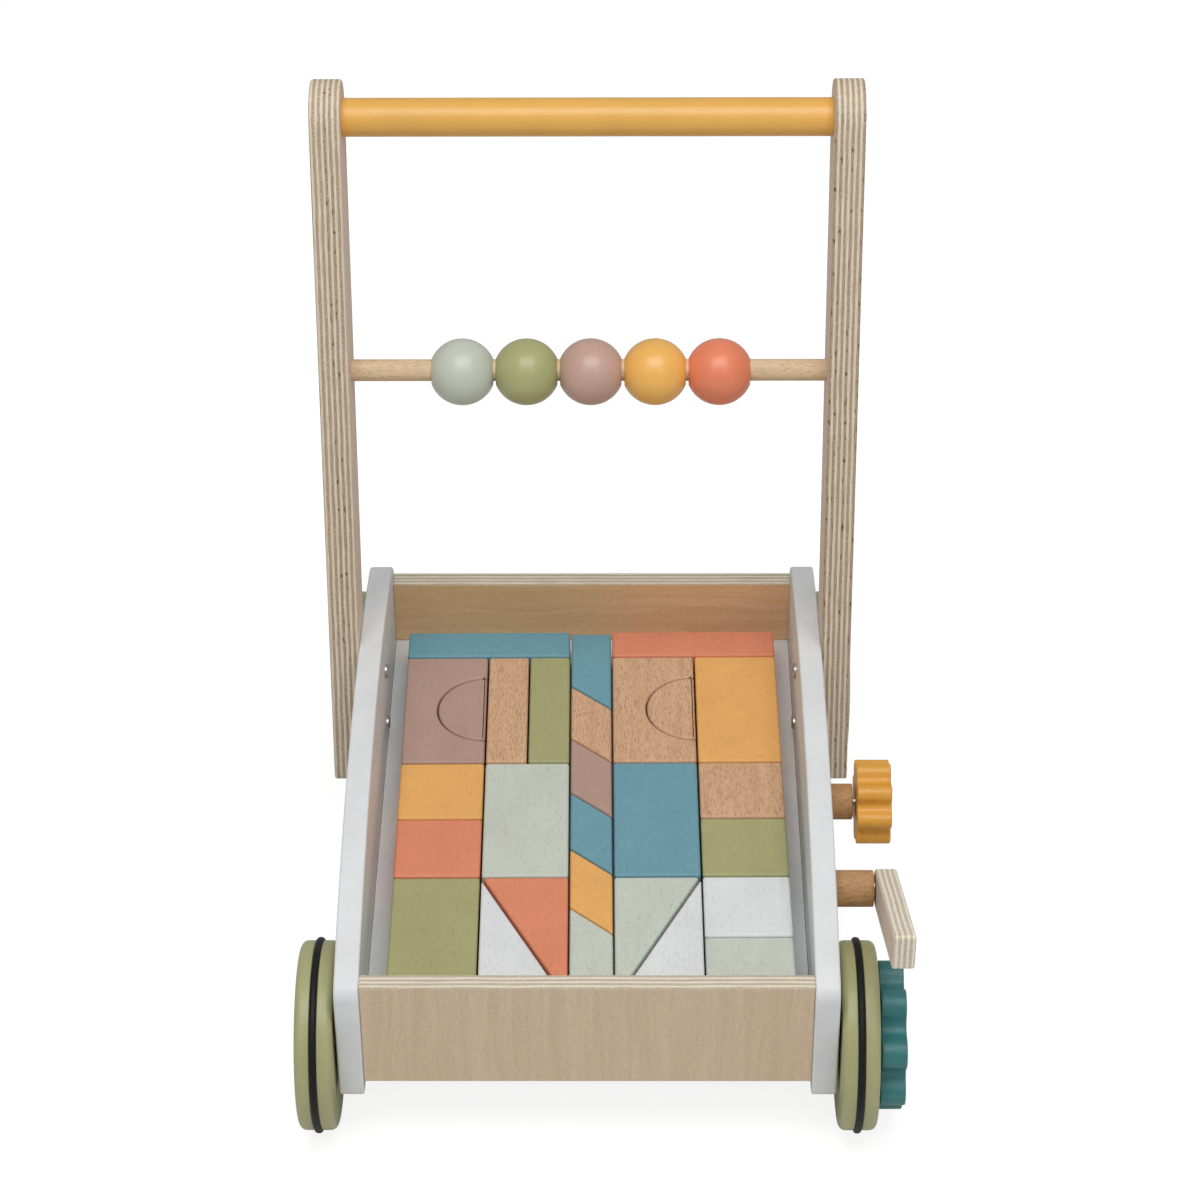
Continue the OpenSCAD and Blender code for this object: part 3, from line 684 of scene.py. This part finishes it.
# %% Lathe tree
LATHE_INPUTS = [("Profile", "Geometry", None), ("Steps Round", "Int", 96), ("Centre", "Vector", None),
                ("Lobes", "Float", 1.0), ("First Lobe", "Float", 0.0), ("Crest Radius", "Float", 1.0),
                ("Petal Radius", "Float", 0.5), ("Hollow Centre", "Float", 1.0),
                ("Hollow Radius", "Float", 0.5), ("Join Angle", "Float", 1.0),
                ("Lobes From", "Float", 10.0), ("Finish", "Material", None)]


def new_geometry_tree(name, inputs):
    """A geometry node tree with named inputs; gives the tree, its inputs and its output."""
    tree = bpy.data.node_groups.new(name, "GeometryNodeTree")
    tree.is_modifier = True
    for label, kind, default in inputs:
        socket = tree.interface.new_socket(label, in_out="INPUT", socket_type="NodeSocket" + kind)
        if default is not None:
            socket.default_value = default
    tree.interface.new_socket("Piece", in_out="OUTPUT", socket_type="NodeSocketGeometry")
    return tree, tree.nodes.new("NodeGroupInput").outputs, tree.nodes.new("NodeGroupOutput").inputs


def end_tree(tree, geometry, given, result):
    """Every tree ends the same way: real geometry with its finish on it."""
    real = add(tree, "GeometryNodeRealizeInstances", {0: geometry}).outputs[0]
    dressed = add(tree, "GeometryNodeSetMaterial", {"Geometry": real, "Material": given["Finish"]}).outputs[0]
    tree.links.new(dressed, result["Piece"])


def make_lathe():
    tree, given, result = new_geometry_tree("Turned Piece", LATHE_INPUTS)
    count = add(tree, "GeometryNodeAttributeDomainSize", {0: given["Profile"]}).outputs["Point Count"]
    rows = calc(tree, "ADD", given["Steps Round"], 1.0)
    grid = add(tree, "GeometryNodeMeshGrid", {"Vertices X": count, "Vertices Y": rows}).outputs["Mesh"]
    index = add(tree, "GeometryNodeInputIndex").outputs[0]
    column = calc(tree, "FLOOR", calc(tree, "DIVIDE", calc(tree, "ADD", index, 0.5), rows))
    row = calc(tree, "SUBTRACT", index, calc(tree, "MULTIPLY", column, rows))
    turn = calc(tree, "MULTIPLY", calc(tree, "DIVIDE", row, given["Steps Round"]), math.tau)
    place = add(tree, "GeometryNodeInputPosition").outputs[0]
    point = add(tree, "GeometryNodeSampleIndex",
                {"Geometry": given["Profile"], "Value": place, "Index": column},
                data_type="FLOAT_VECTOR").outputs[0]
    parts = add(tree, "ShaderNodeSeparateXYZ", {0: point}).outputs
    # Off is the angle from the nearest crest; the rim is a petal there, and past the join a hollow
    pitch = calc(tree, "DIVIDE", math.tau, given["Lobes"])
    steps = calc(tree, "DIVIDE", calc(tree, "SUBTRACT", turn, given["First Lobe"]), pitch)
    nearest = calc(tree, "SUBTRACT", calc(tree, "FRACT", calc(tree, "ADD", steps, 0.5)), 0.5)
    off = calc(tree, "MULTIPLY", calc(tree, "ABSOLUTE", nearest), pitch)
    back = calc(tree, "SUBTRACT", calc(tree, "MULTIPLY", pitch, 0.5), off)

    def far_side(centre, radius, angle, operation):
        """Distance from the axis to a circle, along a ray at an angle from the circle's middle."""
        beside = calc(tree, "MULTIPLY", centre, calc(tree, "SINE", angle))
        square = calc(tree, "SUBTRACT", calc(tree, "MULTIPLY", radius, radius),
                      calc(tree, "MULTIPLY", beside, beside))
        chord = calc(tree, "SQRT", calc(tree, "MAXIMUM", square, 0.0))
        along = calc(tree, "MULTIPLY", centre, calc(tree, "COSINE", angle))
        return calc(tree, operation, along, chord)

    petal_centre = calc(tree, "SUBTRACT", given["Crest Radius"], given["Petal Radius"])
    petal = far_side(petal_centre, given["Petal Radius"], off, "ADD")
    hollow = far_side(given["Hollow Centre"], given["Hollow Radius"], back, "SUBTRACT")
    in_hollow = calc(tree, "GREATER_THAN", off, given["Join Angle"])
    outline = add(tree, "ShaderNodeMix", {0: in_hollow, 2: petal, 3: hollow}).outputs[0]
    reach = calc(tree, "GREATER_THAN", parts["Z"], given["Lobes From"])
    dip = calc(tree, "MULTIPLY", calc(tree, "SUBTRACT", given["Crest Radius"], outline), reach)
    radius = calc(tree, "SUBTRACT", parts["Z"], dip)
    around = add(tree, "ShaderNodeCombineXYZ", {
        "X": parts["X"], "Y": calc(tree, "MULTIPLY", radius, calc(tree, "COSINE", turn)),
        "Z": calc(tree, "MULTIPLY", radius, calc(tree, "SINE", turn))}).outputs[0]
    moved = add(tree, "ShaderNodeVectorMath", {0: around, 1: given["Centre"]}, operation="ADD").outputs[0]
    wrapped = add(tree, "GeometryNodeSetPosition", {"Geometry": grid, "Position": moved}).outputs[0]
    closed = add(tree, "GeometryNodeMergeByDistance", {"Geometry": wrapped, "Distance": 0.004 * MM})
    end_tree(tree, closed.outputs[0], given, result)
    return tree


def run_tree(piece, tree, values, sharp=SHARP):
    """Gives a piece's mesh to a tree, takes the result as its plain mesh and turns its faces outwards."""
    modifier = piece.modifiers.new(tree.name, "NODES")
    modifier.node_group = tree
    identifiers = {item.name: item.identifier for item in tree.interface.items_tree
                   if item.item_type == "SOCKET" and item.in_out == "INPUT"}
    for label, value in values.items():
        modifier[identifiers[label]] = value
    finish_mesh(piece)
    work = bmesh.new()
    work.from_mesh(piece.data)
    bmesh.ops.recalc_face_normals(work, faces=work.faces)
    work.to_mesh(piece.data)
    work.free()
    smooth(piece.data, sharp)
    return piece


lathe_tree = make_lathe()


def turned(name, profile, centre, finish, steps=96, **lobes):
    """A piece turned about an axis along X; profile is a list of (x, radius) in metres."""
    mesh = bpy.data.meshes.new(name)
    mesh.from_pydata([(x, 0, r) for x, r in profile], [], [])
    values = {"Steps Round": steps, "Centre": (0, centre[1], centre[2]), "Finish": finish, **lobes}
    return run_tree(link_piece(name, mesh), lathe_tree, values)


def eased(corners, steps=6):
    """A profile from corners (x, radius, rounding); each corner with a rounding becomes an arc."""
    points = []
    for i, (x, r, rounding) in enumerate(corners):
        here = Vector((x, r))
        if not rounding:
            points.append((x, r))
            continue
        back = (Vector(corners[i - 1][:2]) - here).normalized()
        on = (Vector(corners[(i + 1) % len(corners)][:2]) - here).normalized()
        half = back.angle(on) / 2
        middle = here + (back + on).normalized() * rounding / math.sin(half)
        start, end = here + back * rounding / math.tan(half), here + on * rounding / math.tan(half)
        first, last = start - middle, end - middle
        sweep = first.angle_signed(last)
        for k in range(steps + 1):
            arm = Matrix.Rotation(-sweep * k / steps, 2) @ first
            points.append(tuple(middle + arm))
    return points


print("lathe ready")

# %% [markdown]
# ## Handle bar and bead rail
# The handle is a mustard bar and the rail a slim natural rod. Both run between the uprights. Their
# ends butt against the boards, so only a slight easing shows there.

# %% Rods
mustard_paint = painted("handle_paint", tones["mustard"], "YXZ", gloss=0.38, coat=0.25, dents=0.35)
rod_wood = beech("rail_wood", colour(210, 186, 154, GAIN), colour(190, 162, 128, GAIN), "YXZ", flecks=0.35)


def middle_of(node):
    """Lowest corner, highest corner and middle of a CAD node."""
    lo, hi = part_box(node)
    return lo, hi, (lo + hi) / 2


def rod(node, finish, ease_mm):
    """A plain turned rod in place of a CAD rod along X."""
    lo, hi, middle = middle_of(node)
    r = (hi.z - lo.z) / 2
    profile = eased([(lo.x, 0, 0), (lo.x, r, ease_mm * MM), (hi.x, r, ease_mm * MM), (hi.x, 0, 0)])
    return register(turned(node + "_turned", profile, middle, finish), node)


rod("handle_bar", mustard_paint, 0.4)
rod("bead_rail", rod_wood, 0.3)

# %% [markdown]
# ## Beads
# Five beads slide on the rail. Each is a ball with two flats where the drill went through, and a
# small round-over round the hole. They are dipped in satin lacquer, so each shows a soft window of
# light near its top.

# %% Beads
BEAD_TONES = {"bead_1": "mint", "bead_2": "green", "bead_3": "mauve", "bead_4": "yellow", "bead_5": "coral"}
rail_low, rail_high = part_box("bead_rail")
BEAD_PLAY_MM = 1.5
hole_r = (rail_high.z - rail_low.z) / 2 + BEAD_PLAY_MM * MM


def bead_profile(middle_x, r, half):
    """Half of a bead's outline: the ball between its flats, then the eased rim of the hole."""
    start = math.acos(half / r)
    flat_r = r * math.sin(start)
    rim = 0.9 * MM
    ball = [(middle_x - r * math.cos(a), r * math.sin(a)) for a in
            (start + (math.pi - 2 * start) * i / 40 for i in range(41))]
    left, right = middle_x - half, middle_x + half
    ease = eased([(right, flat_r, 0), (right, hole_r, rim), (left, hole_r, rim), (left, flat_r, 0)], 4)
    return ball + ease[1:]


for node, tone in BEAD_TONES.items():
    lo, hi, middle = middle_of(node)
    lacquer = painted(node + "_lacquer", tones[tone + " gloss"], "XYZ", gloss=0.42, coat=0.45, dents=0.25)
    outline = bead_profile(middle.x, (hi.z - lo.z) / 2, (hi.x - lo.x) / 2)
    register(turned(node + "_turned", outline, middle, lacquer, steps=80), node)
print("beads", len(BEAD_TONES))

# %% [markdown]
# ## Wheels and rubber rings
# Each wheel is a thick olive disc with well rounded rims. A groove in the middle of its tread holds a
# black rubber ring that stands a little proud, so that the walker doesn't slip. On the outside a
# hollow is turned in that takes the axle cap, except where the gear covers it.

# %% Wheels
wheel_paint = painted("wheel_paint", tones["olive"], "YZX", gloss=0.42, coat=0.2, dents=0.4)
ring_rubber = rubber("ring_rubber")
cap_hole = 8.5 * MM
bore = 4.06 * MM
RING_SHARE = 0.8
WHEELS = [front + "_" + side for front in ("front", "rear") for side in ("left", "right")]
for place in WHEELS:
    lo, hi, middle = middle_of(place + "_wheel")
    t_lo, t_hi, t_mid = middle_of(place + "_tyre")
    r = (hi.z - lo.z) / 2
    out = 1 if middle.x > 0 else -1
    inner, outer = (lo.x, hi.x) if out > 0 else (hi.x, lo.x)
    ring = RING_SHARE * (t_hi.x - t_lo.x) / 2
    geared = place == "front_right"
    deep = (0.5 if geared else 9.1) * MM
    mouth = bore + 1 * MM if geared else cap_hole
    groove = 3.5 * MM
    corners = [(inner, bore, 0), (inner, r, 3.8 * MM), (t_mid.x - out * ring, r, 0.5 * MM),
               (t_mid.x - out * ring, r - groove, 0), (t_mid.x + out * ring, r - groove, 0),
               (t_mid.x + out * ring, r, 0.5 * MM), (outer, r, 3.8 * MM), (outer, mouth, 0.6 * MM),
               (outer - out * deep, mouth, 0), (outer - out * deep, bore, 0), (inner, bore, 0)]
    wheel = turned(place + "_wheel_turned", eased(corners, 8), middle, wheel_paint, steps=128)
    register(wheel, place + "_wheel")
    t_r = (t_hi.z - t_lo.z) / 2
    seat = r - groove
    r_lo, r_hi = t_mid.x - ring, t_mid.x + ring
    corners = [(r_lo, seat, 0), (r_lo, t_r, 1.7 * MM), (r_hi, t_r, 1.7 * MM), (r_hi, seat, 0),
               (r_lo, seat, 0)]
    register(turned(place + "_ring_turned", eased(corners), t_mid, ring_rubber, steps=128), place + "_tyre")
print("wheels", len(WHEELS))

# %% [markdown]
# ## Gear and knob
# The big teal gear turns with the front right wheel and the small mustard one is a knob to spin by
# hand. Both are sawn from thick board with round lobes, and every edge is sanded soft.

# %% Lobed pieces
LOBES = 8
gear_paint = painted("gear_paint", tones["teal"], "YZX", gloss=0.42, coat=0.15, dents=1.4)
knob_paint = painted("knob_paint", colour(213, 152, 54, GAIN), "YZX", gloss=0.42, coat=0.2, dents=1.6)


def lobe_inputs(crest, first_degrees):
    """Petals of one size round a rim, and the hollow arcs that meet them smoothly."""
    half = math.pi / LOBES
    petal = 0.56 * crest * math.sin(half)
    middle = crest - petal
    hollow = ((2 * middle ** 2 * (1 - math.cos(half)) - petal ** 2)
              / (2 * (petal - middle * (1 - math.cos(half)))))
    far = middle + hollow
    toward = Vector((far * math.cos(half) - middle, far * math.sin(half))).normalized()
    join = Vector((middle, 0)) + toward * petal
    return {"Lobes": float(LOBES), "First Lobe": math.radians(first_degrees), "Crest Radius": crest,
            "Petal Radius": petal, "Hollow Centre": far, "Hollow Radius": hollow,
            "Join Angle": math.atan2(join.y, join.x)}


def lobed(node, finish, crest, first_degrees, ease_mm, hollow_mm, hollow_deep_mm, bore_mm, relief_mm=0.0):
    """A lobed disc in place of a CAD one; the hollow in its outer face takes the head of its screw."""
    lo, hi, middle = middle_of(node)
    seat = 25 * MM if relief_mm else bore_mm * MM + 1 * MM
    corners = [(lo.x, bore_mm * MM, 0), (lo.x, seat, 0), (lo.x + relief_mm * MM, seat, 0),
               (lo.x + relief_mm * MM, crest, ease_mm * MM), (hi.x, crest, ease_mm * MM),
               (hi.x, hollow_mm * MM, 0.5 * MM), (hi.x - hollow_deep_mm * MM, hollow_mm * MM, 0),
               (hi.x - hollow_deep_mm * MM, bore_mm * MM, 0), (lo.x, bore_mm * MM, 0)]
    rim = lobe_inputs(crest, first_degrees)
    rim["Lobes From"] = crest - (ease_mm + 0.5) * MM
    return register(turned(node + "_turned", eased(corners), middle, finish, steps=24 * LOBES, **rim), node)


def crest_of(node, first_degrees):
    """The crest radius of a lobed CAD node, from its height and the crest nearest the top."""
    lo, hi, middle = middle_of(node)
    lean = min(abs(first_degrees + 360 / LOBES * k - 90) for k in range(LOBES))
    petal_share = 0.56 * math.sin(math.pi / LOBES)
    return (hi.z - lo.z) / 2 / ((1 - petal_share) * math.cos(math.radians(lean)) + petal_share)


lobed("wheel_gear", gear_paint, crest_of("wheel_gear", 17), 17, 0.9, 8.5, 9.1, 4.06, relief_mm=1.2)
lobed("knob", knob_paint, crest_of("knob", 36), 36, 1.0, 5.5, 4.0, 2.56)
print("lobed pieces ready")

# %% [markdown]
# ## Posts and steel
# Two beech posts carry the knob and the lever. The steel is small but it is what makes the walker
# look assembled: screws with domed heads, nuts inside the tray and caps on the axles. All of these
# are stepped rods along X, so each solid's steps are read from the frame and turned again with
# rounded ends. They could be modelled one by one, but one rule treats them all alike.

# %% Posts, axles and fastenings
post_wood = beech("post_wood", colour(184, 144, 99, GAIN), colour(158, 117, 74, GAIN), "YXZ", flecks=0.6)
zinc_plate = zinc("zinc_plate")


def islands(node):
    """The separate solids of a CAD node, each as the list of its points."""
    work = bmesh.new()
    work.from_mesh(nodes[node].data)
    bmesh.ops.remove_doubles(work, verts=work.verts, dist=0.002 * MM)
    left, groups = set(work.verts), []
    while left:
        front, seen = [next(iter(left))], set()
        while front:
            v = front.pop()
            if v in seen:
                continue
            seen.add(v)
            front.extend(e.other_vert(v) for e in v.link_edges)
        left -= seen
        groups.append([v.co.copy() for v in seen])
    work.free()
    return sorted(groups, key=lambda g: tuple(round(min(p[k] for p in g), 5) for k in range(3)))


def steps_along(points):
    """Middle of a stepped rod along X, its hole radius and its stretches as (start, end, radius)."""
    middle = [(min(p[k] for p in points) + max(p[k] for p in points)) / 2 for k in range(3)]
    levels = {}
    for p in points:
        r = math.hypot(p[1] - middle[1], p[2] - middle[2])
        levels.setdefault(round(p[0] * MM_PER_M, 1), {})[round(r * MM_PER_M, 1)] = r
    xs = sorted(levels)
    ringed = len(levels[xs[0]]) > 1 and len(levels[xs[-1]]) > 1
    hole = min(levels[xs[0]].values()) if ringed else 0.0
    stretches = []
    for start, end in zip(xs, xs[1:]):
        shared = set(levels[start]) & set(levels[end])
        if shared:
            stretches.append((start * MM, end * MM, levels[start][max(shared)]))
    return middle, hole, stretches


def steel_profile(hole, stretches):
    """Outline with domed heads: free ends are rounded, a lone ring or rod on both its rims."""
    corners = [(stretches[0][0], hole, 0)]
    for i, (start, end, r) in enumerate(stretches):
        lone = len(stretches) == 1
        ease = min((0.42 if lone else 0.8) * (end - start), 1.2 * MM, 0.45 * (r - hole))
        corners.append((start, r, ease if i == 0 else 0))
        corners.append((end, r, ease if i == len(stretches) - 1 else 0))
    corners.append((stretches[-1][1], hole, 0))
    if hole:
        corners.append(corners[0])
    return eased(corners, 5)


def joined(name, pieces, finish):
    """One piece from several; the single ones are removed."""
    work = bmesh.new()
    for piece in pieces:
        work.from_mesh(piece.data)
    mesh = bpy.data.meshes.new(name)
    for face in work.faces:
        face.material_index = 0
    work.to_mesh(mesh)
    work.free()
    mesh.materials.append(finish)
    for piece in pieces:
        bpy.data.objects.remove(piece)
    smooth(mesh)
    return link_piece(name, mesh)


made = []
for i, points in enumerate(islands("side_posts")):
    lo, hi = (Vector([pick(p[k] for p in points) for k in range(3)]) for pick in (min, max))
    r = (hi.z - lo.z) / 2
    outline = eased([(lo.x, 0, 0), (lo.x, r, 0.4 * MM), (hi.x, r, 0.6 * MM), (hi.x, 0, 0)])
    made.append(turned("post_%d" % i, outline, (lo + hi) / 2, post_wood, steps=64))
register(joined("side_posts_turned", made, post_wood), "side_posts")
for node in ("axles", "axle_caps", "panel_screws", "upright_bolts", "knob_screw", "lever_screw"):
    made = []
    for i, points in enumerate(islands(node)):
        middle, hole, stretches = steps_along(points)
        made.append(turned("%s_%d" % (node, i), steel_profile(hole, stretches), middle, zinc_plate, steps=40))
    print(node, len(made), "turned")
    register(joined(node + "_turned", made, zinc_plate), node)
